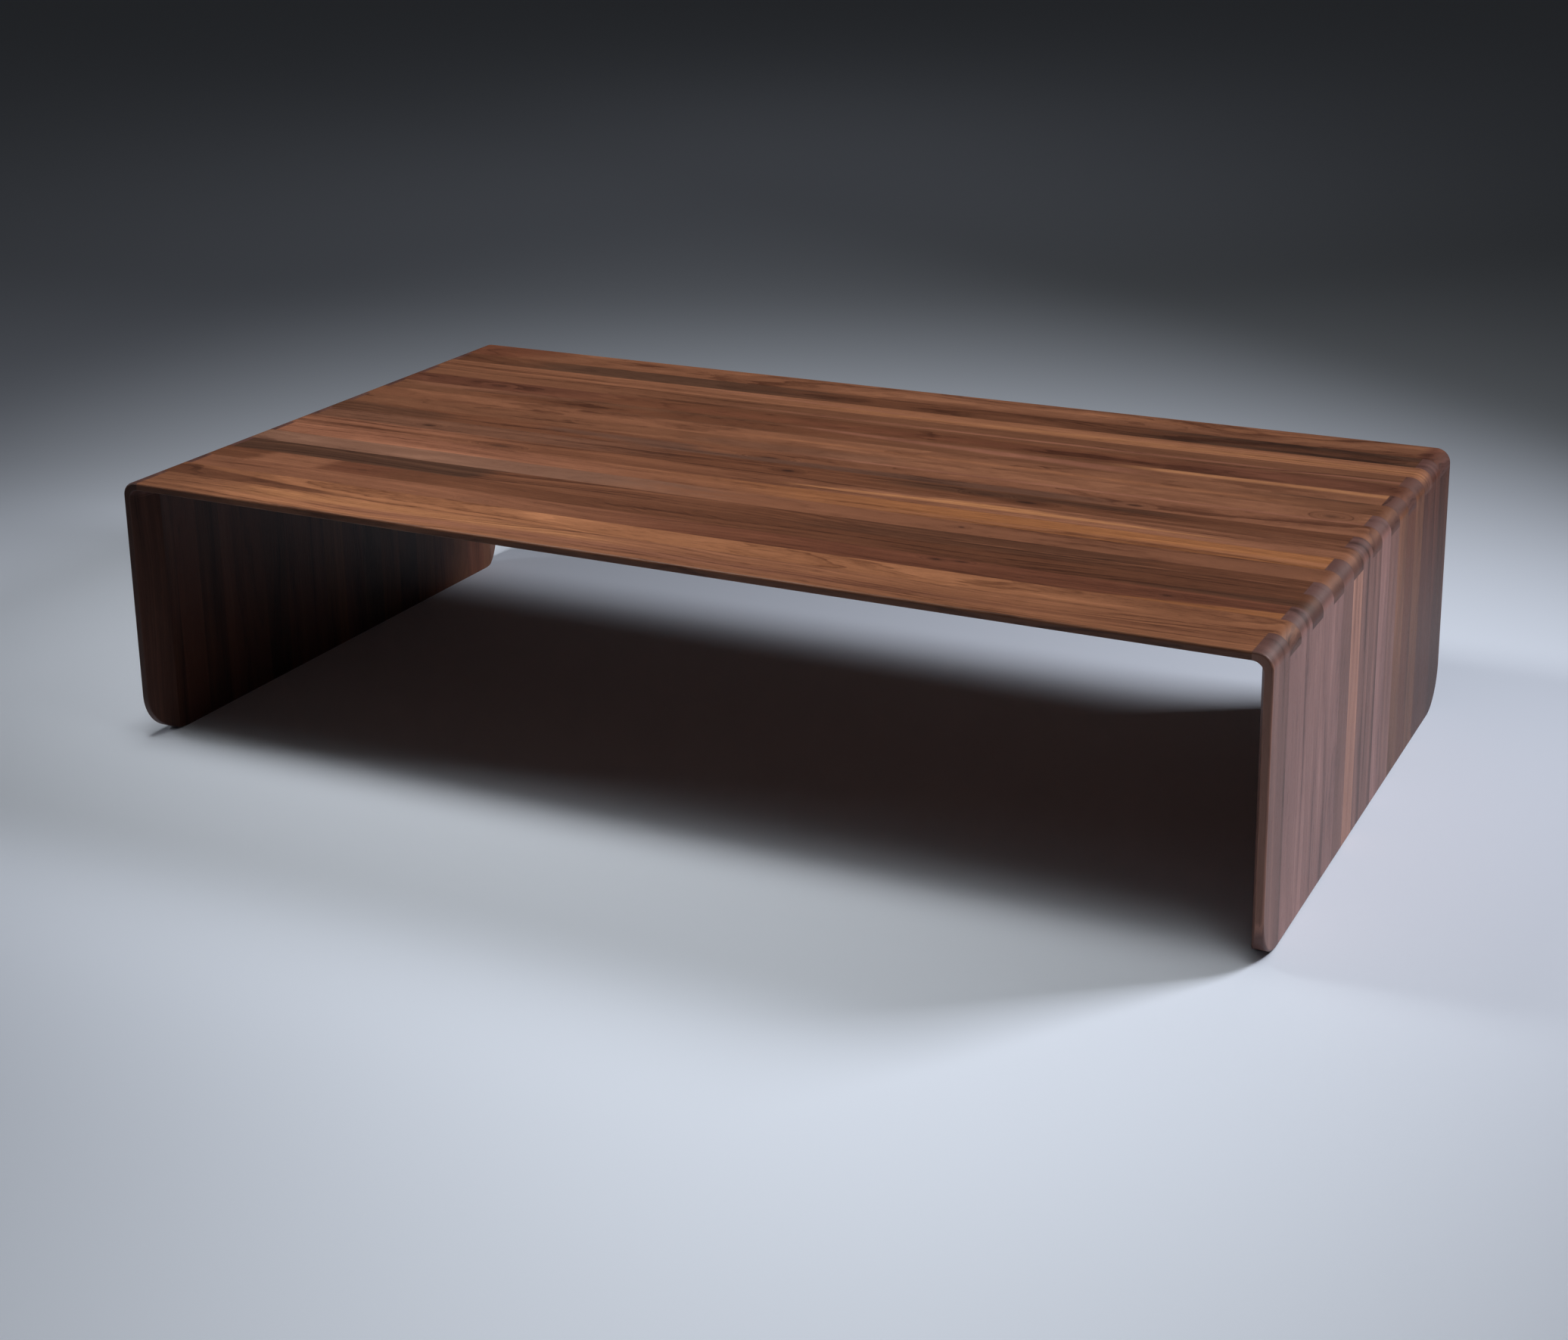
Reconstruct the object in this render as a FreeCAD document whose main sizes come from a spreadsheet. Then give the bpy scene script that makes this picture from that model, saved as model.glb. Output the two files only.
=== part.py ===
import FreeCAD, Part
import math
import os
import Sketcher

# A low waterfall coffee table of solid walnut, in millimetres.
# The origin is on the floor under the middle of the table, X runs along the length,
# Y from the front edge to the back edge and Z up.
# The top and the two panel legs are glued up from staves, all in the same rows. At the two upper
# corners the staves themselves make a finger joint: in the first row, at the front, and in every
# second row after it, the leg staves run up to the top surface, and in the other rows the top
# stave runs out over the round of the corner.

doc = FreeCAD.newDocument("coffee_table")

# Driving dimensions
SIZES = [
    ("overall_length", 1300.0),
    ("overall_height", 304.0),
    ("panel_thickness", 20.0),
    ("inner_stave_width", 38.0),
    ("inner_stave_count", 16.0),
    ("edge_stave_width", 53.0),
    # flat strip of end grain that a leg finger shows before the round of the corner
    ("end_grain_flat", 4.0),
    # thickness that the bevels leave at the front and back edges
    ("edge_thickness", 8.0),
    # flat strip left on an edge stave between its bevel and its glue line
    ("bevel_land", 17.0),
    # flat strip left under an edge stave between the round of the foot and its glue line
    ("foot_land", 3.0),
    ("arris_radius", 2.5),
    ("inner_arris_radius", 1.5),
]

sheet = doc.addObject("Spreadsheet::Sheet", "sizes")
for line, (alias, value) in enumerate(SIZES, start=1):
    sheet.set(f"A{line}", alias)
    sheet.set(f"B{line}", str(value))
    sheet.setAlias(f"B{line}", alias)
doc.recompute()


class Size:
    """A length as a formula on the sheet, with its value at hand for first positions."""

    def __init__(self, formula, value):
        self.formula = formula
        self.value = value

    def __add__(self, other):
        return Size(f"({self.formula} + {other.formula})", self.value + other.value)

    def __sub__(self, other):
        return Size(f"({self.formula} - {other.formula})", self.value - other.value)

    def times(self, factor):
        return Size(f"({factor} * {self.formula})", factor * self.value)

    def half(self):
        return Size(f"({self.formula} / 2)", self.value / 2)


def size(alias):
    return Size(f"sizes.{alias}", float(sheet.get(alias)))


ZERO = Size("0", 0.0)
# coordinates closer than this are the same place
TINY = 1e-6

# how a sketch numbers the ends of a line or arc, a lone point, its origin and its two axes
START_INDEX, END_INDEX = 1, 2
POINT_INDEX = 1
ORIGIN_INDEXES = (-1, 1)
ACROSS_AXIS_INDEX, UP_AXIS_INDEX = -1, -2

length = size("overall_length")
height = size("overall_height")
thickness = size("panel_thickness")
inner_width = size("inner_stave_width")
edge_width = size("edge_stave_width")
edge_thickness = size("edge_thickness")
arris_radius = size("arris_radius")
inner_arris_radius = size("inner_arris_radius")
inner_count = int(sheet.get("inner_stave_count"))

row_count = inner_count + 2
depth = edge_width.times(2) + inner_width.times(inner_count)
corner_radius = thickness - size("end_grain_flat")
bevel_width = edge_width - size("bevel_land")
bevel_depth = thickness - edge_thickness
foot_radius = edge_width - size("foot_land")
span = length - thickness.times(2)
under_top = height - thickness


def plane_of(body, role):
    return [f for f in body.Origin.OriginFeatures if f.Role == role][0]


def outline(body, name, role, corners, lift=None):
    """A closed sketch through corners (across, up, radius or None) on one of the body's planes."""
    sketch = body.newObject("Sketcher::SketchObject", f"{body.Name}_{name}")
    sketch.AttachmentSupport = [(plane_of(body, role), "")]
    sketch.MapMode = "FlatFace"
    if lift is not None:
        sketch.setExpression("AttachmentOffset.Base.z", lift.formula)

    # where each straight run starts and ends, short of the rounded corners
    count = len(corners)
    points = [FreeCAD.Vector(c[0].value, c[1].value, 0) for c in corners]
    run_in, run_out = [], []
    for k, corner in enumerate(corners):
        back = (points[k - 1] - points[k]).normalize()
        ahead = (points[(k + 1) % count] - points[k]).normalize()
        trim = 0.0
        if corner[2] is not None:
            trim = corner[2].value / tan_half(back, ahead)
        run_in.append(points[k] + back * trim)
        run_out.append(points[k] + ahead * trim)

    lines = []
    for k in range(count):
        run = Part.LineSegment(run_out[k], run_in[(k + 1) % count])
        lines.append(sketch.addGeometry(run, False))
    for k, corner in enumerate(corners):
        line_in, line_out = lines[k - 1], lines[k]
        if corner[2] is None:
            joined = Sketcher.Constraint("Coincident", line_in, END_INDEX, line_out, START_INDEX)
            sketch.addConstraint(joined)
            pin(sketch, line_out, START_INDEX, corner)
            continue
        round_off(sketch, line_in, line_out, run_in[k], run_out[k], points[k], corner)
    return sketch


def tan_half(back, ahead):
    """Tangent of half the angle between two unit vectors."""
    return ahead.cross(back).Length / (1 + ahead.dot(back))


def pin(sketch, part, end, corner):
    """Holds a point of the sketch at the corner's place, each coordinate by its formula."""
    kinds = ("DistanceX", "DistanceY")
    axes = (UP_AXIS_INDEX, ACROSS_AXIS_INDEX)
    for kind, axis, place in zip(kinds, axes, corner):
        if abs(place.value) < TINY:
            sketch.addConstraint(Sketcher.Constraint("PointOnObject", part, end, axis))
            continue
        distance = Sketcher.Constraint(kind, *ORIGIN_INDEXES, part, end, place.value)
        held = sketch.addConstraint(distance)
        sketch.setExpression(f"Constraints[{held}]", place.formula)


def round_off(sketch, line_in, line_out, start, finish, point, corner):
    """An arc tangent to both runs, whose sharp corner stays pinned at its place."""
    radius = corner[2]
    back = start - point
    ahead = finish - point
    reach = math.hypot(back.Length, radius.value)
    inward = (back + ahead).normalize()
    nearest = point + inward * (reach - radius.value)
    arc = sketch.addGeometry(Part.Arc(start, nearest, finish), False)
    mark = sketch.addGeometry(Part.Point(point), True)
    pin(sketch, mark, POINT_INDEX, corner)
    for line in (line_in, line_out):
        sketch.addConstraint(Sketcher.Constraint("PointOnObject", mark, POINT_INDEX, line))
    ends = (START_INDEX, END_INDEX)
    arc_in, arc_out = sorted(ends, key=lambda end: (sketch.getPoint(arc, end) - start).Length)
    sketch.addConstraint(Sketcher.Constraint("Tangent", line_in, END_INDEX, arc, arc_in))
    sketch.addConstraint(Sketcher.Constraint("Tangent", line_out, START_INDEX, arc, arc_out))
    held = sketch.addConstraint(Sketcher.Constraint("Radius", arc, radius.value))
    sketch.setExpression(f"Constraints[{held}]", radius.formula)


def feature(body, kind, name, sketch, reach=None, flip=False):
    """A pad, pocket or groove made from a sketch of the body."""
    made = body.newObject(f"PartDesign::{kind}", f"{body.Name}_{name}")
    made.Profile = sketch
    made.Reversed = flip
    if reach is not None:
        made.setExpression("Length", reach.formula)
    sketch.Visibility = False
    return made


def soften(body, name, radius, wanted):
    """Rounds the edges of the body's solid whose middle point is wanted."""
    doc.recompute()
    base = body.Tip
    edges = []
    for number, edge in enumerate(base.Shape.Edges, start=1):
        middle = edge.valueAt((edge.FirstParameter + edge.LastParameter) / 2)
        if wanted(middle):
            edges.append(f"Edge{number}")
    if not edges:
        raise RuntimeError(f"{body.Label}: no edge to round for {name}")
    made = body.newObject("PartDesign::Fillet", f"{body.Name}_{name}")
    made.Base = (base, edges)
    made.setExpression("Radius", radius.formula)
    return made


def near(value, place):
    return abs(value - place.value) < TINY


def new_stave(label, left, front, bottom):
    """An empty body whose own origin is the stave's lowest, leftmost, front corner."""
    body = doc.addObject("PartDesign::Body", label)
    body.Label = label
    for axis, place in (("x", left), ("y", front), ("z", bottom)):
        body.setExpression(f"Placement.Base.{axis}", place.formula)
    return body


def row_front(row):
    """Y of the front side of a row, 0 being the front row."""
    start = ZERO - depth.half()
    if row == 0:
        return start
    return start + edge_width + inner_width.times(row - 1)


def is_edge(row):
    return row in (0, row_count - 1)


def row_width(row):
    return edge_width if is_edge(row) else inner_width


def leg_runs_up(row):
    """Whether the leg staves are the fingers of this row, as they are in every second row."""
    return row % 2 == 0


def from_edge(row, distance):
    """Local Y of a place, measured from the table's front or back edge into an edge stave."""
    return distance if row == 0 else edge_width - distance


def from_outside(side, distance):
    """Local X of a place in a leg stave, measured from the leg's outer face."""
    return distance if side < 0 else thickness - distance


def cut_cone(body, name, tip, rim, row, lift):
    """Carries the bevel round an inner corner: a cone about the corner line, which runs along Y."""
    edge, end = from_edge(row, ZERO), from_edge(row, bevel_width)
    corners = [(tip, edge, None), (rim, edge, None), (tip, end, None)]
    sketch = outline(body, name, "XY_Plane", corners, lift)
    # the outline's last line runs along the corner line, so the axis is a copy of it
    along = len(corners) - 1
    run = Part.LineSegment(sketch.getPoint(along, START_INDEX), sketch.getPoint(along, END_INDEX))
    axis = sketch.addGeometry(run, True)
    for end in (START_INDEX, END_INDEX):
        sketch.addConstraint(Sketcher.Constraint("Coincident", axis, end, along, end))
    groove = feature(body, "Groove", f"{name}_cut", sketch)
    groove.ReferenceAxis = (sketch, ["Axis0"])


# Top staves
def top_stave(row):
    short = leg_runs_up(row)
    reach = span if short else length
    body = new_stave(f"top_stave_{row + 1:02d}", ZERO - reach.half(), row_front(row), under_top)
    ends = None if short else corner_radius
    corners = [
        (ZERO, ZERO, None),
        (reach, ZERO, None),
        (reach, thickness, ends),
        (ZERO, thickness, ends),
    ]
    section = outline(body, "section", "XZ_Plane", corners)
    feature(body, "Pad", "wood", section, row_width(row), flip=True)
    if is_edge(row):
        ease_top_stave(body, row, ZERO if short else thickness, short)
    return body


def ease_top_stave(body, row, bevel_start, short):
    """Rounds the outer arris of a front or back stave and bevels it underneath."""
    edge = from_edge(row, ZERO)
    bevel_end = from_edge(row, bevel_width)
    soften(body, "arris", arris_radius,
           lambda at: near(at.y, edge) and (near(at.z, thickness) if short else at.z > TINY))
    corners = [(edge, ZERO, None), (edge, bevel_depth, None), (bevel_end, ZERO, None)]
    wedge = outline(body, "bevel", "YZ_Plane", corners, bevel_start)
    feature(body, "Pocket", "bevel_cut", wedge, span, flip=True)
    if not short:
        for name, tip, rim in (
            ("left_corner", thickness, edge_thickness),
            ("right_corner", length - thickness, length - edge_thickness),
        ):
            cut_cone(body, name, tip, rim, row, ZERO)
    soften(body, "inner_arris", inner_arris_radius,
           lambda at: near(at.y, edge) and near(at.z, bevel_depth))


# Leg staves
def leg_stave(side, row):
    """side is -1 for the left leg and 1 for the right leg."""
    name = "left" if side < 0 else "right"
    left = ZERO - length.half() if side < 0 else length.half() - thickness
    body = new_stave(f"{name}_leg_stave_{row + 1:02d}", left, row_front(row), ZERO)
    finger = leg_runs_up(row)
    top = height if finger else under_top
    outer, inner = from_outside(side, ZERO), from_outside(side, thickness)
    corners = [
        (outer, ZERO, None if is_edge(row) else arris_radius),
        (inner, ZERO, None),
        (inner, top, None),
        (outer, top, corner_radius if finger else None),
    ]
    section = outline(body, "section", "XZ_Plane", corners)
    feature(body, "Pad", "wood", section, row_width(row), flip=True)
    if is_edge(row):
        ease_leg_stave(body, side, row)
    return body


def ease_leg_stave(body, side, row):
    """Rounds the foot and the outer arris of a front or back stave and bevels it inside."""
    edge, bevel_end = from_edge(row, ZERO), from_edge(row, bevel_width)
    outer, inner = from_outside(side, ZERO), from_outside(side, thickness)
    rim = from_outside(side, edge_thickness)
    soften(body, "foot", foot_radius, lambda at: near(at.y, edge) and near(at.z, ZERO))
    soften(body, "arris", arris_radius, lambda at: near(at.y, edge) and near(at.x, outer))
    corners = [(inner, edge, None), (rim, edge, None), (inner, bevel_end, None)]
    wedge = outline(body, "bevel", "XY_Plane", corners)
    feature(body, "Pocket", "bevel_cut", wedge, under_top, flip=True)
    if leg_runs_up(row):
        cut_cone(body, "corner", inner, rim, row, under_top)
    soften(body, "inner_arris", inner_arris_radius, lambda at: near(at.y, edge) and near(at.x, rim))


staves = []
for row in range(row_count):
    staves.append(top_stave(row))
    for side in (-1, 1):
        staves.append(leg_stave(side, row))
doc.recompute()

for item in doc.Objects:
    if "Invalid" in item.State or "Error" in item.State:
        raise RuntimeError(f"{item.Label} failed: {item.State}")
for stave in staves:
    if stave.Shape.isNull() or not stave.Shape.isValid():
        raise RuntimeError(f"{stave.Label} has no valid shape")

os.makedirs("parts", exist_ok=True)
for stave in staves:
    stave.Shape.exportStep(f"parts/{stave.Label}.step")
print(len(staves), "staves,", round(sum(stave.Shape.Volume for stave in staves)), "mm3 of wood")
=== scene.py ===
import math
import random
from collections import namedtuple

import bpy
from mathutils import Matrix, Vector


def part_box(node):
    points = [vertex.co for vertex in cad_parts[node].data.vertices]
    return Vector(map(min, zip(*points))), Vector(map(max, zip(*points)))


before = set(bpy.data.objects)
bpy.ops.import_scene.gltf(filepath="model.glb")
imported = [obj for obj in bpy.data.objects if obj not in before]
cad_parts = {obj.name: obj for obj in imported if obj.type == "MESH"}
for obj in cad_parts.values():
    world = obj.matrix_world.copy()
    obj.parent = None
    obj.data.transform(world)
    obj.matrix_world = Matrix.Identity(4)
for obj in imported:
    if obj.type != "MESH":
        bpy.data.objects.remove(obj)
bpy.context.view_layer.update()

# A low waterfall coffee table of oiled solid walnut.
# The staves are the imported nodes. Each gets a walnut of its own, cut from a log that is worked out
# in millimetres from the stave's place: growth rings round a pith, pigment bands that follow them,
# fibres and pores. The grain runs along X in the top and along Z in the legs.

MILLIMETRE = 0.001

# How a screen codes light: a straight line near black and a power curve above it
SCREEN_WHITE = 255.0
SCREEN_LINE_END = 0.04045
SCREEN_LINE_SLOPE = 12.92
SCREEN_CURVE_OFFSET = 0.055
SCREEN_CURVE_POWER = 2.4


def srgb(red, green, blue):
    """A colour as it is read off a screen, 0 to 255, made linear."""
    linear = []
    for part in (red, green, blue):
        share = part / SCREEN_WHITE
        if share <= SCREEN_LINE_END:
            linear.append(share / SCREEN_LINE_SLOPE)
        else:
            raised = (share + SCREEN_CURVE_OFFSET) / (1.0 + SCREEN_CURVE_OFFSET)
            linear.append(raised ** SCREEN_CURVE_POWER)
    return (*linear, 1.0)


# Tones of walnut under plain light. The pink mauve, heather and clay tones also hold a painted
# reflection of the pale floor.
TONES = {
    "honey": srgb(138, 90, 62),
    "ochre": srgb(138, 88, 54),
    "tan": srgb(122, 79, 57),
    "rose": srgb(124, 80, 62),
    # pinker than the wood: painted pink reflection of the pale floor, for the right leg
    "mauve_sheen": srgb(133, 96, 89),
    "heather_sheen": srgb(115, 80, 71),
    "clay_sheen": srgb(152, 107, 90),
    "fawn": srgb(113, 73, 52),
    "brown": srgb(106, 67, 47),
    "cocoa": srgb(98, 62, 43),
    "russet": srgb(96, 56, 39),
    "umber": srgb(90, 54, 36),
    "grey": srgb(108, 77, 62),
    "dusk": srgb(84, 57, 45),
    "plum": srgb(80, 46, 35),
    "deep": srgb(68, 39, 29),
    "dark": srgb(66, 42, 30),
    "end": srgb(80, 53, 48),
    "sapwood": srgb(164, 112, 74),
    "knot": srgb(36, 22, 18),
}

# How a tone changes towards the dark lines and towards the light ones, and the light between them
DARKER = (0.44, 0.38, 0.36)
LIGHTER = (1.42, 1.48, 1.50)
MIDDLE_LIGHT = 0.5


class Field:
    """A value that varies over a surface: an output of a shader node, with arithmetic."""

    def __init__(self, tree, socket):
        self.tree = tree
        self.socket = socket

    def calculate(self, operation, *others):
        node = self.tree.nodes.new("ShaderNodeMath")
        node.operation = operation
        for place, value in enumerate((self, *others)):
            feed(self.tree, value, node.inputs[place])
        return Field(self.tree, node.outputs[0])

    def __add__(self, other):
        return self.calculate("ADD", other)

    def __sub__(self, other):
        return self.calculate("SUBTRACT", other)

    def __rsub__(self, other):
        return self * -1.0 + other

    def __mul__(self, other):
        return self.calculate("MULTIPLY", other)

    def __truediv__(self, other):
        return self.calculate("DIVIDE", other)

    def power(self, other):
        return self.calculate("POWER", other)

    def size(self):
        return self.calculate("ABSOLUTE")

    def smaller(self, other):
        return self.calculate("MINIMUM", other)

    def opposite(self):
        """1 where the field is 0 and 0 where it is 1."""
        return 1.0 - self

    def hypotenuse(self, other):
        return (self * self + other * other).calculate("SQRT")

    def rise(self, low, high):
        """0 up to low, 1 from high on and a smooth step between them."""
        node = self.tree.nodes.new("ShaderNodeMapRange")
        node.interpolation_type = "SMOOTHSTEP"
        for name, value in (("Value", self), ("From Min", low), ("From Max", high)):
            feed(self.tree, value, node.inputs[name])
        return Field(self.tree, node.outputs["Result"])

    def run(self, low, high, start, end):
        """A straight line from start at low to end at high, level outside them."""
        node = self.tree.nodes.new("ShaderNodeMapRange")
        for name, value in (("Value", self), ("From Min", low), ("From Max", high),
                            ("To Min", start), ("To Max", end)):
            feed(self.tree, value, node.inputs[name])
        return Field(self.tree, node.outputs["Result"])


def feed(tree, value, socket):
    """Links a field to a socket, or sets the socket to a plain value."""
    if isinstance(value, Field):
        tree.links.new(value.socket, socket)
    else:
        socket.default_value = value


def join(tree, across, up, out):
    """A vector of three fields or numbers."""
    node = tree.nodes.new("ShaderNodeCombineXYZ")
    for place, value in enumerate((across, up, out)):
        feed(tree, value, node.inputs[place])
    return Field(tree, node.outputs[0])


def split(tree, vector):
    """The three parts of a vector."""
    node = tree.nodes.new("ShaderNodeSeparateXYZ")
    feed(tree, vector, node.inputs[0])
    return [Field(tree, output) for output in node.outputs]


# How finely noise is broken up, and how far it is spread about its middle
SMOOTH_DETAIL = 1.0
USUAL_DETAIL = 2.0
FINE_DETAIL = 3.0
NOISE_SPREAD = 4.0


def noise(tree, across, up, out, detail=USUAL_DETAIL):
    """Smooth noise about 0, mostly between -1 and 1, whose features are about 1 apart."""
    node = tree.nodes.new("ShaderNodeTexNoise")
    node.inputs["Scale"].default_value = 1.0
    node.inputs["Detail"].default_value = detail
    feed(tree, join(tree, across, up, out), node.inputs["Vector"])
    return Field(tree, node.outputs[0]) * NOISE_SPREAD - NOISE_SPREAD / 2


def blend(tree, amount, first, second):
    """Two colours mixed by an amount."""
    node = tree.nodes.new("ShaderNodeMix")
    node.data_type = "RGBA"
    colours = [socket for socket in node.inputs if socket.type == "RGBA"]
    feed(tree, amount, node.inputs[0])
    feed(tree, first, colours[0])
    feed(tree, second, colours[1])
    return Field(tree, [socket for socket in node.outputs if socket.type == "RGBA"][0])


def scaled(colour, factors):
    """A colour with its red, green and blue multiplied."""
    return (*[part * factor for part, factor in zip(colour, factors)], 1.0)


def shades(tree, light, tone):
    """A tone from its dark lines, where the light is 0, to its light ones, where it is 1."""
    node = tree.nodes.new("ShaderNodeValToRGB")
    ramp = node.color_ramp
    ramp.interpolation = "EASE"
    ramp.elements[0].color = scaled(TONES[tone], DARKER)
    ramp.elements[1].color = scaled(TONES[tone], LIGHTER)
    ramp.elements.new(MIDDLE_LIGHT).color = TONES[tone]
    feed(tree, light, node.inputs[0])
    return Field(tree, node.outputs[0])


# What grows in the log: how long each feature is along the grain and how wide across it, both in
# millimetres, and how finely it is broken up
Feature = namedtuple("Feature", "length width detail")
WANDER = Feature(420.0, 160.0, SMOOTH_DETAIL)
RIPPLE = Feature(85.0, 14.0, USUAL_DETAIL)
CLOUD = Feature(190.0, 30.0, USUAL_DETAIL)
LINE = Feature(110.0, 1.7, FINE_DETAIL)
FLECK = Feature(15.0, 2.4, SMOOTH_DETAIL)
FIBRE = Feature(26.0, 0.9, USUAL_DETAIL)
PORE = Feature(7.0, 0.40, SMOOTH_DETAIL)
BAND_LENGTH = 650.0
# how far ripples push the growth rings, and bands their late wood
RIPPLE_REACH = 1.6
BAND_PUSH_SHARE = 0.3
# late wood darkens slowly and ends at once, and pores lie in the early wood
LATEWOOD_POWER = 3.0
EARLYWOOD_PORES = 0.25
# how far apart two logs lie
LOG_STEP = 37.0

# How much each feature lightens the wood, or darkens it where the sum subtracts it
BAND_WEIGHT = 0.38
CLOUD_WEIGHT = 0.16
RIPPLE_WEIGHT = 0.07
LINE_WEIGHT = 0.20
FIBRE_WEIGHT = 0.16
FLECK_WEIGHT = 0.12
DASH_WEIGHT = 0.14
LATEWOOD_WEIGHT = 0.24
FINE_LIFT = 0.08
PORE_WEIGHT = 0.18
# fine lines fade where the surface rolls over to end grain
ROLL_FADE = 0.6
# how much fibres and flecks fray the sides of a mark
FIBRE_FRAY = 0.5
FLECK_FRAY = 0.3

# Ranges over which something sets in
PORE_RANGE = (0.55, 1.1)
DASH_RANGE = (0.35, 1.0)
ROLL_RANGE = (0.02, 0.35)
TOP_END_RANGE = (0.60, 0.97)
LEG_END_RANGE = (0.15, 0.60)

# Knots, as distances from their middle in their own sizes: how far they pull the rings round
# them, how far their dark core reaches and how far the halo round it
KNOT_PULL_RANGE = (0.6, 3.2)
KNOT_CORE_RANGE = (0.35, 1.25)
KNOT_HALO_RANGE = (0.9, 3.4)
KNOT_HALO_STRENGTH = 0.45
KNOT_FRAY = 0.15

# Strokes of a feather, in millimetres, and how it fades at its ends and its sides
STROKE_LENGTH = 34.0
STROKE_WIDTH = 2.6
STROKE_WAVE = 0.2
STROKE_RANGE = (0.0, 0.9)
FEATHER_END_SHARE = 0.25
FEATHER_SIDE_RANGE = (0.3, 0.6)

# The part of a streak over which it fades at each end
STREAK_END_SHARE = 0.12

# Glue lines, in millimetres, and end grain
SEAM_WIDTH = 0.6
SEAM_STRENGTH = 0.35
END_STRENGTH = 0.8

# Oiled surface: its gloss, and its relief in millimetres
SPECULAR_LEVEL = 0.28
ROUGHNESS = 0.46
FIBRE_ROUGHNESS = 0.03
PORE_ROUGHNESS = 0.12
END_ROUGHNESS = 0.04
LINE_HEIGHT = 0.03
PORE_DEPTH = 0.05

# A board as it is cut from the log. Its pith and its rings are in millimetres.
Board = namedtuple("Board", "tone contrast fineness band pith_across pith_depth ring wander marks")

# Marks on a board. Places and lengths along it are shares of its length from its left or upper
# end, and places and widths across it are shares of its width from its back side.
Streak = namedtuple("Streak", "tone strength start_share end_share from_share to_share "
                              "wide_from_share wide_to_share soft_share")
Knot = namedtuple("Knot", "strength at_share across_share size_share stretch")
Patch = namedtuple("Patch", "tone strength start_share end_share slant_share soft_share")
Feather = namedtuple("Feather", "strength start_share end_share across_share wide_share turn")

# A place on a board: millimetres along it from its left or upper end, across it from its back
# side and down into it from its outer face, and how squarely the surface faces along the grain
Place = namedtuple("Place", "along across into end_facing")

# What is seen of the wood at each place: its light from 0 to 1, the millimetres by which it frays
# the sides of marks, the features that its relief and gloss follow, and, from 0 to 1, how far the
# surface has rolled over and how far it is end grain
Figure = namedtuple("Figure", "light fray ripple fibres lines pores rolled end")


class Stave:
    """Where a stave lies: its box in millimetres, its row from the front one, 1, and its side."""

    def __init__(self, name):
        low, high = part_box(name)
        self.name = name
        self.low = low / MILLIMETRE
        self.high = high / MILLIMETRE
        self.row = int(name.split("_")[-1])
        self.is_top = name.startswith("top")
        self.side = -1.0 if name.startswith("left") else 1.0
        self.width = self.high.y - self.low.y
        self.length = self.high.x - self.low.x if self.is_top else self.high.z - self.low.z


def board_place(tree, stave):
    """The place on its board of every point of a stave's surface."""
    source = tree.nodes.new("ShaderNodeTexCoord")
    x, y, z = split(tree, Field(tree, source.outputs["Object"]))
    from_top = stave.high.z - z / MILLIMETRE
    if stave.is_top:
        along = x / MILLIMETRE - stave.low.x
        into = from_top
    else:
        along = from_top
        outer = stave.high.x if stave.side > 0 else stave.low.x
        into = stave.side * outer - x / (stave.side * MILLIMETRE)
    normal = split(tree, Field(tree, source.outputs["Normal"]))
    facing = normal[0] if stave.is_top else normal[2]
    return Place(along, stave.high.y - y / MILLIMETRE, into, facing.size())


def grain_noise(tree, place, feature, offset, aside=0.0):
    """Noise with the size of a feature, drawn out along the grain of the log at an offset."""
    return noise(tree, place.along / feature.length + offset, place.across / feature.width + aside,
                 place.into / feature.width, feature.detail)


def near_knot(stave, place, knot):
    """How far a place is from a knot's middle, in the knot's own sizes."""
    size = knot.size_share * stave.width
    run = (place.along - knot.at_share * stave.length) / (size * knot.stretch)
    rise = (place.across - knot.across_share * stave.width) / size
    return run.hypotenuse(rise)


def growth_rings(tree, stave, board, place, ripple, seed):
    """Millimetres from a pith that wanders along the log, or from the middle of a near knot."""
    offset = seed * LOG_STEP
    wander = grain_noise(tree, place, WANDER, offset) * board.wander
    drift = grain_noise(tree, place, WANDER, -offset, seed) * board.wander
    beside = place.across - board.pith_across + wander
    below = place.into - board.pith_depth + drift
    rings = beside.hypotenuse(below) + ripple * RIPPLE_REACH
    for knot in board.marks:
        if isinstance(knot, Knot):
            distance = near_knot(stave, place, knot)
            pull = distance.rise(*KNOT_PULL_RANGE).opposite()
            around = distance * (knot.size_share * stave.width)
            rings = rings + (around - rings) * pull
    return rings


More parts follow.
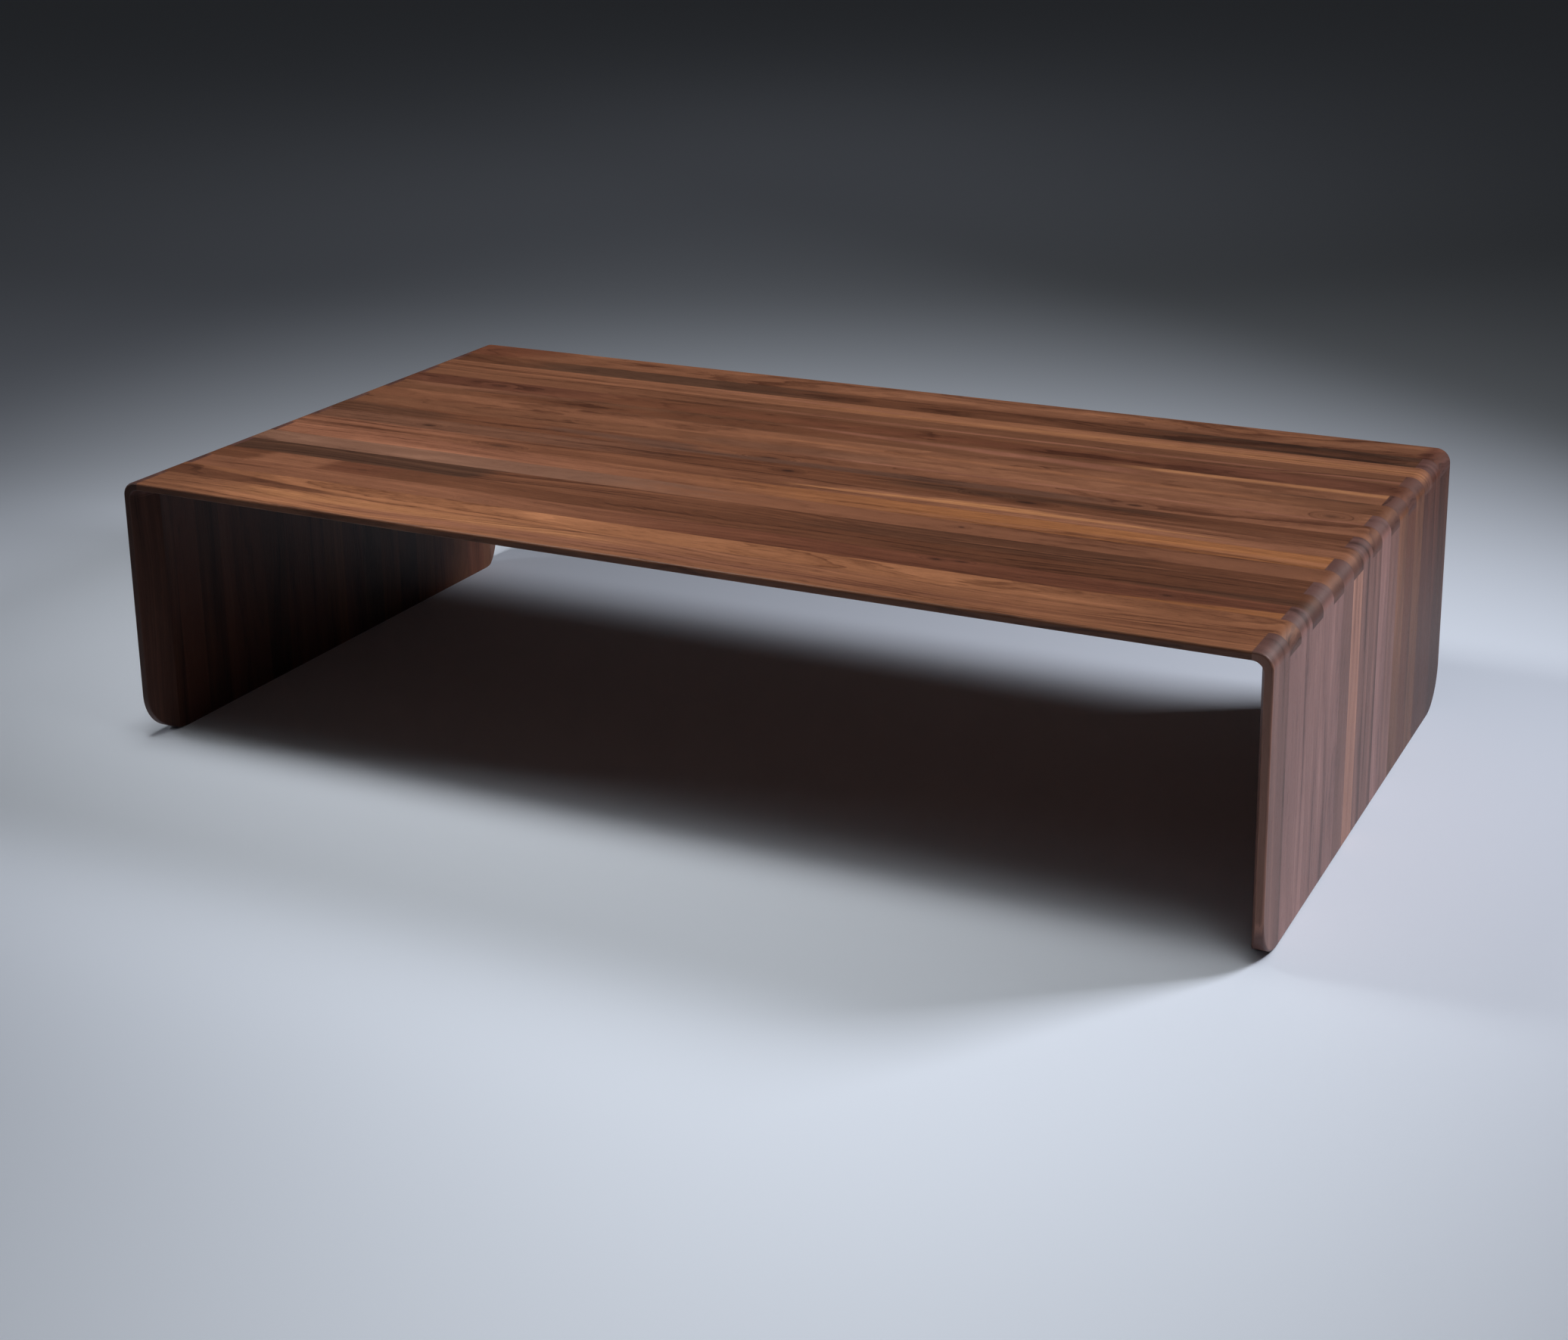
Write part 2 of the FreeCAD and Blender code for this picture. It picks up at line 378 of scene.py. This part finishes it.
def wood_figure(tree, stave, board, place, seed):
    """What a stave shows of its log, with light from 0 in its dark lines to 1 in its light ones."""
    offset = seed * LOG_STEP
    ripple = grain_noise(tree, place, RIPPLE, offset)
    clouds = grain_noise(tree, place, CLOUD, offset)
    fibres = grain_noise(tree, place, FIBRE, offset)
    flecks = grain_noise(tree, place, FLECK, offset)
    rings = growth_rings(tree, stave, board, place, ripple, seed)
    bands = noise(tree, rings / board.band + offset, place.along / BAND_LENGTH, seed)
    lines = noise(tree, rings / LINE.width, place.along / LINE.length + offset, seed, LINE.detail)
    turns = (rings / board.ring + bands * BAND_PUSH_SHARE).calculate("FRACT")
    latewood = turns.power(LATEWOOD_POWER)
    dashes = flecks.rise(*DASH_RANGE)
    pores = grain_noise(tree, place, PORE, offset) + turns.opposite() * EARLYWOOD_PORES
    pores = pores.rise(*PORE_RANGE)
    rolled = place.end_facing.rise(*ROLL_RANGE)
    end = place.end_facing.rise(*(TOP_END_RANGE if stave.is_top else LEG_END_RANGE))

    broad = bands * BAND_WEIGHT + clouds * CLOUD_WEIGHT + ripple * RIPPLE_WEIGHT
    fine = lines * LINE_WEIGHT + fibres * FIBRE_WEIGHT + flecks * FLECK_WEIGHT
    fine = fine - dashes * DASH_WEIGHT - latewood * LATEWOOD_WEIGHT + FINE_LIFT
    fine = fine * (1.0 - rolled * ROLL_FADE) * board.fineness
    light = (broad + fine) * board.contrast + MIDDLE_LIGHT - pores * (PORE_WEIGHT * board.fineness)
    fray = ripple + fibres * FIBRE_FRAY + flecks * FLECK_FRAY
    return Figure(light, fray, ripple, fibres, lines, pores, rolled, end)


def streak_amount(stave, place, fray, mark):
    """A band along the grain whose middle and width run evenly from one end to the other."""
    start, end = mark.start_share * stave.length, mark.end_share * stave.length
    middle = place.along.run(start, end, mark.from_share * stave.width,
                             mark.to_share * stave.width)
    half = place.along.run(start, end, mark.wide_from_share * stave.width / 2,
                           mark.wide_to_share * stave.width / 2)
    soft = mark.soft_share * stave.width
    outside = (place.across - middle + fray).size() - half
    fade = STREAK_END_SHARE * (end - start)
    begun = place.along.rise(start - fade, start + fade)
    ended = place.along.rise(end - fade, end + fade)
    return outside.rise(-soft, soft).opposite() * begun * ended.opposite() * mark.strength


def patch_amount(stave, place, fray, mark):
    """A stretch of the board whose ends may run slantwise across it."""
    start, end = mark.start_share * stave.length, mark.end_share * stave.length
    soft = mark.soft_share * stave.length
    slanted = place.along + place.across * mark.slant_share + fray * (soft / 2)
    begun = slanted.rise(start - soft, start + soft)
    ended = slanted.rise(end - soft, end + soft)
    return begun * ended.opposite() * mark.strength


def feather_amount(tree, stave, place, ripple, mark):
    """Short dark strokes that run slantwise, as where a branch forks off."""
    start, end = mark.start_share * stave.length, mark.end_share * stave.length
    fade = (end - start) * FEATHER_END_SHARE
    turn = math.radians(mark.turn)
    forward = place.along * math.cos(turn) + place.across * math.sin(turn)
    sideways = place.across * math.cos(turn) - place.along * math.sin(turn)
    strokes = noise(tree, forward / STROKE_LENGTH,
                    sideways / STROKE_WIDTH + ripple * STROKE_WAVE, 0.0).rise(*STROKE_RANGE)
    begun = place.along.rise(start, start + fade)
    ended = place.along.rise(end - fade, end)
    from_middle = (place.across - mark.across_share * stave.width).size()
    outside = (from_middle / (mark.wide_share * stave.width)).rise(*FEATHER_SIDE_RANGE)
    return strokes * begun * ended.opposite() * outside.opposite() * mark.strength


def add_mark(tree, stave, place, figure, tone, mark, colour):
    """A colour with one more mark laid over it."""
    dark = scaled(TONES[tone], DARKER)
    if isinstance(mark, Knot):
        distance = near_knot(stave, place, mark) + figure.ripple * KNOT_FRAY
        core = distance.rise(*KNOT_CORE_RANGE).opposite() * mark.strength
        halo = distance.rise(*KNOT_HALO_RANGE).opposite() * (KNOT_HALO_STRENGTH * mark.strength)
        return blend(tree, halo, blend(tree, core, colour, TONES["knot"]), dark)
    if isinstance(mark, Feather):
        amount = feather_amount(tree, stave, place, figure.ripple, mark)
        return blend(tree, amount, colour, dark)
    find_amount = streak_amount if isinstance(mark, Streak) else patch_amount
    amount = find_amount(stave, place, figure.fray, mark)
    return blend(tree, amount, colour, shades(tree, figure.light, mark.tone))


def from_edges(distance, whole):
    """Distance to the nearer of two edges, from the distance to one and how far apart they are."""
    return distance.smaller(whole - distance)


def seam_amount(stave, place, figure):
    """Thin dark glue lines round a stave's sides and ends, darker in its end grain."""
    from_side = from_edges(place.across, stave.width)
    from_end = from_edges(place.along, stave.length) + figure.rolled * SEAM_WIDTH
    outside = from_side.smaller(from_end).rise(0.0, SEAM_WIDTH)
    return outside.opposite() * (figure.end * SEAM_STRENGTH + SEAM_STRENGTH)


def walnut(stave, board, seed):
    """A material for one stave, made from its board and its marks."""
    material = bpy.data.materials.new(f"walnut_{stave.name}")
    material.use_nodes = True
    tree = material.node_tree
    shader = tree.nodes["Principled BSDF"]
    place = board_place(tree, stave)
    figure = wood_figure(tree, stave, board, place, seed)

    colour = shades(tree, figure.light, board.tone)
    for mark in board.marks:
        colour = add_mark(tree, stave, place, figure, board.tone, mark, colour)
    # end grain drinks more oil
    colour = blend(tree, figure.end * END_STRENGTH, colour, shades(tree, figure.light, "end"))
    seam = seam_amount(stave, place, figure)
    colour = blend(tree, seam, colour, scaled(TONES["dark"], DARKER))
    feed(tree, colour, shader.inputs["Base Color"])

    roughness = figure.fibres * FIBRE_ROUGHNESS + figure.pores * PORE_ROUGHNESS + ROUGHNESS
    feed(tree, roughness + figure.end * END_ROUGHNESS, shader.inputs["Roughness"])
    shader.inputs["Specular IOR Level"].default_value = SPECULAR_LEVEL

    height = figure.lines * LINE_HEIGHT + figure.fibres * LINE_HEIGHT - figure.pores * PORE_DEPTH
    bump = tree.nodes.new("ShaderNodeBump")
    bump.inputs["Distance"].default_value = MILLIMETRE
    feed(tree, height, bump.inputs["Height"])
    tree.links.new(bump.outputs["Normal"], shader.inputs["Normal"])
    return material


# Tones of the rows, from the front one to the back one
TOP_TONES = ["honey", "honey", "russet", "umber", "umber", "tan", "ochre", "tan", "umber",
             "brown", "fawn", "fawn", "cocoa", "umber", "cocoa", "fawn", "dark", "fawn"]
# What marks each board of the top, by its row, with painted shade on the front edge face of the
# front row
TOP_MARK_AND_SHADE_SHARES = {
    1: [Patch("brown", 0.7, -0.2, 0.10, 0.4, 0.08),
        Patch("tan", 0.7, 0.34, 0.66, 0.3, 0.10),
        Streak("sapwood", 0.45, 0.10, 0.46, 0.34, 0.24, 0.50, 0.24, 0.14),
        Streak("rose", 0.6, 0.20, 0.80, 0.62, 0.60, 0.30, 0.20, 0.14),
        Streak("russet", 0.5, 0.60, 1.0, 0.62, 0.55, 0.10, 0.26, 0.12),
        Patch("brown", 0.45, 0.66, 1.2, 0.2, 0.14),
        # painted shade: a plum streak along the front side darkens the top's front edge face
        Streak("plum", 0.4, -0.2, 1.2, 1.0, 1.0, 0.04, 0.04, 0.02)],
    2: [Patch("sapwood", 0.12, 0.14, 0.88, 0.5, 0.10),
        Patch("umber", 0.5, -0.2, 0.10, 0.5, 0.06),
        Streak("umber", 1.0, -0.1, 0.19, 0.34, 1.10, 1.20, 0.55, 0.06),
        Patch("brown", 0.35, 0.80, 1.2, 0.6, 0.10)],
    3: [Knot(0.75, 0.02, 0.18, 0.10, 2.6),
        Knot(0.95, 0.30, 0.72, 0.08, 3.4),
        Knot(0.80, 0.72, 0.22, 0.08, 2.4),
        Knot(0.70, 0.74, 0.15, 0.06, 3.0),
        Knot(0.60, 0.91, 0.48, 0.07, 2.2),
        Streak("ochre", 0.9, 0.86, 1.2, 1.04, 0.50, 0.12, 0.95, 0.05),
        Patch("tan", 0.75, -0.2, 0.46, 0.5, 0.12)],
    4: [Patch("tan", 0.85, 0.065, 0.135, 0.3, 0.008),
        Patch("russet", 0.6, 0.138, 0.20, 0.2, 0.02),
        Feather(0.85, 0.35, 0.60, 0.55, 0.75, 17.0),
        Streak("dark", 0.6, 0.86, 1.1, 0.9, 0.62, 0.1, 0.8, 0.12)],
    5: [Patch("dark", 0.95, -0.2, 0.275, 0.55, 0.012),
        Patch("brown", 0.45, 0.30, 0.53, 0.9, 0.03),
        Feather(0.7, 0.53, 0.74, 0.5, 0.9, 12.0),
        Patch("dark", 0.45, 0.61, 0.88, 0.6, 0.05),
        Streak("tan", 0.75, 0.70, 1.1, 0.62, 0.52, 0.06, 0.05, 0.03)],
    6: [Patch("brown", 0.45, 0.36, 1.2, 0.8, 0.10),
        Patch("grey", 0.85, -0.2, 0.46, 1.4, 0.10),
        Knot(0.85, 0.700, 0.46, 0.055, 2.0)],
    7: [Patch("tan", 0.8, -0.2, 0.47, -2.2, 0.07),
        Patch("rose", 0.6, -0.2, 0.33, -2.2, 0.09),
        Patch("brown", 0.45, 0.24, 0.62, -1.0, 0.08),
        Streak("honey", 0.7, 0.60, 1.1, 0.84, 0.66, 0.16, 0.42, 0.10)],
    8: [Patch("brown", 0.45, -0.2, 0.62, 1.2, 0.10),
        Patch("rose", 0.3, -0.2, 0.22, 1.2, 0.10),
        Patch("umber", 0.75, 0.24, 0.56, 1.2, 0.08),
        Streak("umber", 0.75, 0.06, 0.24, 0.55, 0.58, 0.20, 0.22, 0.14),
        Knot(0.7, 0.235, 0.72, 0.10, 4.0),
        Streak("umber", 0.45, 0.36, 0.90, 0.10, 0.02, 0.30, 0.30, 0.20),
        Streak("sapwood", 0.75, 0.52, 0.74, 0.70, 0.42, 0.06, 0.36, 0.08),
        Streak("sapwood", 0.75, 0.66, 0.90, 0.44, 0.62, 0.40, 0.04, 0.08),
        Streak("umber", 0.55, 0.80, 1.1, 0.30, 0.25, 0.10, 0.34, 0.16)],
    9: [Patch("grey", 0.35, -0.2, 0.36, 0.8, 0.08),
        Knot(0.8, 0.125, 0.62, 0.09, 2.6),
        Knot(0.95, 0.505, 0.56, 0.10, 2.2),
        Knot(0.85, 0.690, 0.42, 0.11, 2.8),
        Knot(0.95, 0.730, 0.68, 0.10, 3.6),
        Streak("dark", 0.75, 0.60, 0.86, 0.35, 0.20, 0.60, 0.35, 0.18),
        Streak("brown", 0.8, 0.80, 1.1, 0.80, 0.72, 0.16, 0.46, 0.12)],
    10: [Patch("umber", 0.8, -0.2, 0.40, 0.6, 0.12),
         Patch("tan", 0.85, 0.62, 1.2, 0.6, 0.10),
         Streak("dark", 0.65, -0.1, 0.14, 0.40, 0.60, 1.20, 0.70, 0.10),
         Streak("dusk", 0.8, 0.24, 0.40, 0.35, 0.55, 0.30, 0.70, 0.16),
         Knot(0.95, 0.472, 0.60, 0.12, 3.2),
         Streak("dusk", 0.85, 0.34, 0.78, 0.86, 0.80, 0.30, 0.66, 0.10),
         Knot(0.8, 0.805, 0.72, 0.09, 2.6)],
    11: [Patch("cocoa", 0.8, -0.2, 0.54, 0.4, 0.10),
         Streak("dusk", 0.40, 0.38, 0.58, 0.5, 0.6, 0.5, 0.9, 0.2),
         Knot(0.35, 0.970, 0.52, 0.16, 1.6),
         Streak("rose", 0.6, 0.50, 1.1, 0.88, 0.92, 0.16, 0.14, 0.06)],
    12: [Patch("brown", 0.4, -0.2, 0.50, 0.5, 0.12),
         Patch("brown", 0.7, -0.2, 0.12, 0.5, 0.06),
         Patch("cocoa", 0.85, 0.87, 1.2, 0.5, 0.04),
         Streak("honey", 0.6, 0.42, 0.90, 0.55, 0.68, 0.14, 0.26, 0.14),
         Streak("dark", 0.7, 0.90, 0.975, 0.02, 0.05, 0.2, 0.14, 0.12)],
    13: [Patch("dark", 0.35, 0.04, 0.42, 0.6, 0.08),
         Streak("rose", 0.3, 0.02, 0.22, 0.22, 0.12, 0.40, 0.18, 0.08),
         Streak("umber", 0.9, 0.08, 0.54, 0.75, 0.45, 0.50, 0.80, 0.14),
         Streak("rose", 0.85, 0.46, 0.78, 0.10, 0.62, 0.20, 0.50, 0.10),
         Patch("tan", 0.25, 0.78, 1.2, 0.6, 0.05),
         Streak("sapwood", 0.45, 0.78, 1.1, 0.14, 0.22, 0.24, 0.32, 0.10),
         Streak("umber", 0.25, 0.80, 1.1, 0.60, 0.65, 0.25, 0.25, 0.14)],
    14: [Knot(0.75, 0.115, 0.52, 0.10, 2.4),
         Patch("plum", 0.6, -0.2, 0.24, 0.6, 0.06),
         Streak("russet", 0.6, 0.30, 0.92, 0.62, 0.55, 0.4, 0.5, 0.16),
         Patch("plum", 0.5, 0.80, 1.2, 0.4, 0.06)],
    15: [Patch("tan", 0.25, -0.2, 0.25, -1.5, 0.06),
         Streak("rose", 0.75, 0.36, 1.1, 0.66, 0.74, 0.10, 0.20, 0.07)],
    16: [Patch("brown", 0.8, -0.2, 0.26, 0.6, 0.08),
         Patch("honey", 0.4, 0.44, 1.2, 0.6, 0.10),
         Streak("sapwood", 0.3, 0.46, 1.1, 0.72, 0.62, 0.30, 0.44, 0.14),
         Streak("rose", 0.55, 0.32, 0.60, 0.16, 0.66, 0.16, 0.10, 0.10)],
    17: [Patch("umber", 0.85, -0.2, 0.10, 0.5, 0.05),
         Streak("umber", 0.55, 0.36, 1.1, 0.35, 0.60, 0.50, 0.40, 0.16),
         Patch("umber", 0.8, 0.44, 0.76, 0.8, 0.06)],
    18: [Patch("russet", 0.95, -0.2, 0.11, 0.9, 0.03),
         Patch("cocoa", 0.7, 0.88, 1.2, 0.5, 0.05),
         Streak("umber", 0.6, 0.10, 1.1, 0.95, 0.98, 0.20, 0.24, 0.14),
         Patch("brown", 0.5, 0.13, 0.50, 0.5, 0.06),
         Streak("honey", 0.4, 0.66, 0.90, 0.35, 0.40, 0.2, 0.4, 0.14),
         Patch("plum", 0.85, 0.984, 1.2, 0.1, 0.005)],
}
# The right leg's rows, front to back: pink front rows that hold a painted reflection of the pale
# floor beside the leg, and darker, redder back rows
RIGHT_TONES_AND_SHEEN_SHARES = ["heather_sheen", "mauve_sheen", "mauve_sheen", "mauve_sheen", "mauve_sheen", "mauve_sheen", "heather_sheen", "clay_sheen",
               "heather_sheen", "heather_sheen", "mauve_sheen", "heather_sheen", "brown", "russet", "brown", "plum",
               "plum", "deep"]
# The left leg's rows, front to back: dark plum and deep tones, painted shade over the wood, darkest
# in the front rows where its inner face lies in shadow
LEFT_TONES_AND_SHADE_SHARES = ["deep", "plum", "deep", "plum", "plum", "deep", "plum", "plum", "umber",
              "plum", "dusk", "umber", "plum", "umber", "russet", "umber", "russet", "brown"]
# A clay streak along the front side of the right leg's front row lightens its front face and a
# narrow strip beside its front edges: painted light and a painted highlight on the arris
RIGHT_PAINTED_LIGHT_SHARES = {1: [Streak("clay_sheen", 0.9, -0.2, 1.2, 1.0, 1.0, 0.10, 0.10, 0.05)]}


# How boards differ: what each is drawn from, in the order of Board, with sizes in millimetres
FLAT_SAWN_SHARE = 0.45
TOP_CONTRAST_RANGE = (0.85, 1.25)
LEG_CONTRAST_RANGE = (1.0, 1.4)
TOP_BAND_RANGE = (6.0, 10.0)
LEG_BAND_RANGE = (12.0, 20.0)
FLAT_ACROSS_SHARES = (-0.2, 1.2)
UPRIGHT_ASIDE_RANGE = (50.0, 140.0)
FLAT_DEPTH_RANGE = (60.0, 130.0)
UPRIGHT_DEPTH_RANGE = (10.0, 60.0)
RING_RANGE = (3.2, 6.5)
WANDER_RANGE = (5.0, 16.0)
# how much of its fine grain a board shows
TOP_FINENESS = 1.0
LEG_FINENESS = 0.60
# the staves are cut from logs numbered from 1 to this
LAST_LOG = 89


def make_board(stave, tones, marks):
    """A board with its own place in the log, the same on every run."""
    chance = random.Random(stave.name)
    flat = chance.random() < FLAT_SAWN_SHARE
    contrast = chance.uniform(*(TOP_CONTRAST_RANGE if stave.is_top else LEG_CONTRAST_RANGE))
    band = chance.uniform(*(TOP_BAND_RANGE if stave.is_top else LEG_BAND_RANGE))
    if flat:
        pith_across = chance.uniform(*FLAT_ACROSS_SHARES) * stave.width
        pith_depth = chance.uniform(*FLAT_DEPTH_RANGE)
    else:
        direction = chance.choice((-1, 1))
        pith_across = direction * chance.uniform(*UPRIGHT_ASIDE_RANGE) + stave.width / 2
        pith_depth = chance.uniform(*UPRIGHT_DEPTH_RANGE)
    return Board(
        tone=tones[stave.row - 1],
        contrast=contrast,
        fineness=TOP_FINENESS if stave.is_top else LEG_FINENESS,
        band=band,
        pith_across=pith_across,
        pith_depth=pith_depth,
        ring=chance.uniform(*RING_RANGE),
        wander=chance.uniform(*WANDER_RANGE),
        marks=marks.get(stave.row, []),
    )


def tables_for(stave):
    """The tones and the marks of the part of the table that a stave belongs to."""
    if stave.is_top:
        return TOP_TONES, TOP_MARK_AND_SHADE_SHARES
    if stave.side > 0:
        return RIGHT_TONES_AND_SHEEN_SHARES, RIGHT_PAINTED_LIGHT_SHARES
    return LEFT_TONES_AND_SHADE_SHARES, {}


for name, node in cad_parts.items():
    stave = Stave(name)
    board = make_board(stave, *tables_for(stave))
    seed = float(random.Random(name).randint(1, LAST_LOG))
    node.data.materials.clear()
    node.data.materials.append(walnut(stave, board, seed))


# Floor
FLOOR_REACH = 14.0
FLOOR_RINGS = 8
FLOOR_SIDES = 48
FLOOR_COLOUR = srgb(220, 228, 241)
FLOOR_ROUGHNESS = 0.75


def make_floor():
    """A round floor of pale paper, level with the feet, in rings that grow away from the table."""
    points = [(0.0, 0.0, 0.0)]
    faces = []
    for ring in range(1, FLOOR_RINGS + 1):
        reach = FLOOR_REACH * (ring / FLOOR_RINGS) ** 2
        for side in range(FLOOR_SIDES):
            turn = math.tau * side / FLOOR_SIDES
            points.append((reach * math.cos(turn), reach * math.sin(turn), 0.0))
    for side in range(FLOOR_SIDES):
        ahead = (side + 1) % FLOOR_SIDES
        faces.append((0, 1 + side, 1 + ahead))
        for ring in range(FLOOR_RINGS - 1):
            inner = 1 + ring * FLOOR_SIDES
            outer = inner + FLOOR_SIDES
            faces.append((inner + side, outer + side, outer + ahead, inner + ahead))
    mesh = bpy.data.meshes.new("floor")
    mesh.from_pydata(points, [], faces)
    floor = bpy.data.objects.new("floor", mesh)
    bpy.context.scene.collection.objects.link(floor)
    material = bpy.data.materials.new("studio_floor")
    material.use_nodes = True
    shader = material.node_tree.nodes["Principled BSDF"]
    shader.inputs["Base Color"].default_value = FLOOR_COLOUR
    shader.inputs["Roughness"].default_value = FLOOR_ROUGHNESS
    mesh.materials.append(material)
    return floor


make_floor()


# Light: soft boxes in metres, each turned from its place towards its aim, whose grid keeps its
# light within a spread in degrees. Tints are shares of white. A scratch fit to the brightness of
# the photograph's floor showed where the left, right and front boxes stand, and the values are
# set by hand in round numbers.
WARM = (1.0, 1.0, 0.97)
COOL = (0.955, 0.96, 1.0)
SoftBox = namedtuple("SoftBox", "name place aim across deep watts spread tint")
SOFT_BOXES = [
    SoftBox("left_box", (-0.60, -0.35, 1.60), (-0.25, 0.40, 0.0), 0.40, 0.40, 6.0, 95.0, WARM),
    SoftBox("right_box", (1.65, 0.70, 1.40), (-1.50, -1.00, 0.0), 0.50, 0.50, 20.5, 120.0, COOL),
    SoftBox("side_box", (-2.40, -0.50, 0.80), (-0.90, -0.20, 0.10), 0.60, 0.60, 0.8, 55.0, COOL),
    SoftBox("back_box", (-1.00, 2.00, 2.60), (-2.40, 4.80, 0.0), 0.60, 0.60, 1.8, 100.0, COOL),
    SoftBox("front_box", (0.95, -0.80, 2.00), (0.35, -1.05, 0.0), 0.85, 0.50, 2.6, 60.0, WARM),
]
SKY_COLOUR = (0.97, 0.98, 1.0, 1.0)
SKY_STRENGTH = 0.019


def add_lamp(box):
    lamp = bpy.data.lights.new(box.name, "AREA")
    lamp.shape = "RECTANGLE"
    lamp.size = box.across
    lamp.size_y = box.deep
    lamp.energy = box.watts
    lamp.spread = math.radians(box.spread)
    lamp.color = box.tint
    holder = bpy.data.objects.new(box.name, lamp)
    holder.location = box.place
    towards = Vector(box.aim) - Vector(box.place)
    holder.rotation_euler = towards.to_track_quat("-Z", "Y").to_euler()
    bpy.context.scene.collection.objects.link(holder)


def add_sky():
    world = bpy.data.worlds.new("studio")
    bpy.context.scene.world = world
    world.use_nodes = True
    sky = world.node_tree.nodes["Background"]
    sky.inputs["Color"].default_value = SKY_COLOUR
    sky.inputs["Strength"].default_value = SKY_STRENGTH


for box in SOFT_BOXES:
    add_lamp(box)
add_sky()


# Camera, fitted to the photograph's edges: its place in metres, its picture in pixels and its
# sensor in millimetres
CAMERA_PLACE = Vector((1.175, -2.310, 1.062))
CAMERA_YAW = math.radians(-27.14)
CAMERA_PITCH = math.radians(15.59)
CAMERA_ROLL = math.radians(-0.94)
PHOTO_WIDTH = 2072.0
PHOTO_HEIGHT = 1771.0
FOCAL_PIXELS = 3200.0
AXIS_PIXELS_DOWN = 575.0
SENSOR_WIDTH = 36.0


def camera_turn():
    """The camera's turn: its right, its up and the way back from what it looks at."""
    level = math.cos(CAMERA_PITCH)
    forward = Vector((math.sin(CAMERA_YAW) * level, math.cos(CAMERA_YAW) * level,
                      -math.sin(CAMERA_PITCH)))
    right = Vector((math.cos(CAMERA_YAW), -math.sin(CAMERA_YAW), 0.0))
    up = right.cross(forward)
    turn = Matrix((right, up, -forward)).transposed().to_4x4()
    return turn @ Matrix.Rotation(CAMERA_ROLL, 4, "Z")


def add_camera():
    lens = bpy.data.cameras.new("camera")
    lens.sensor_width = SENSOR_WIDTH
    lens.lens = FOCAL_PIXELS / PHOTO_WIDTH * SENSOR_WIDTH
    lens.shift_y = (AXIS_PIXELS_DOWN - PHOTO_HEIGHT / 2) / PHOTO_WIDTH
    camera = bpy.data.objects.new("camera", lens)
    camera.matrix_world = Matrix.Translation(CAMERA_PLACE) @ camera_turn()
    bpy.context.scene.collection.objects.link(camera)
    bpy.context.scene.camera = camera


add_camera()
bpy.context.scene.view_settings.view_transform = "Standard"
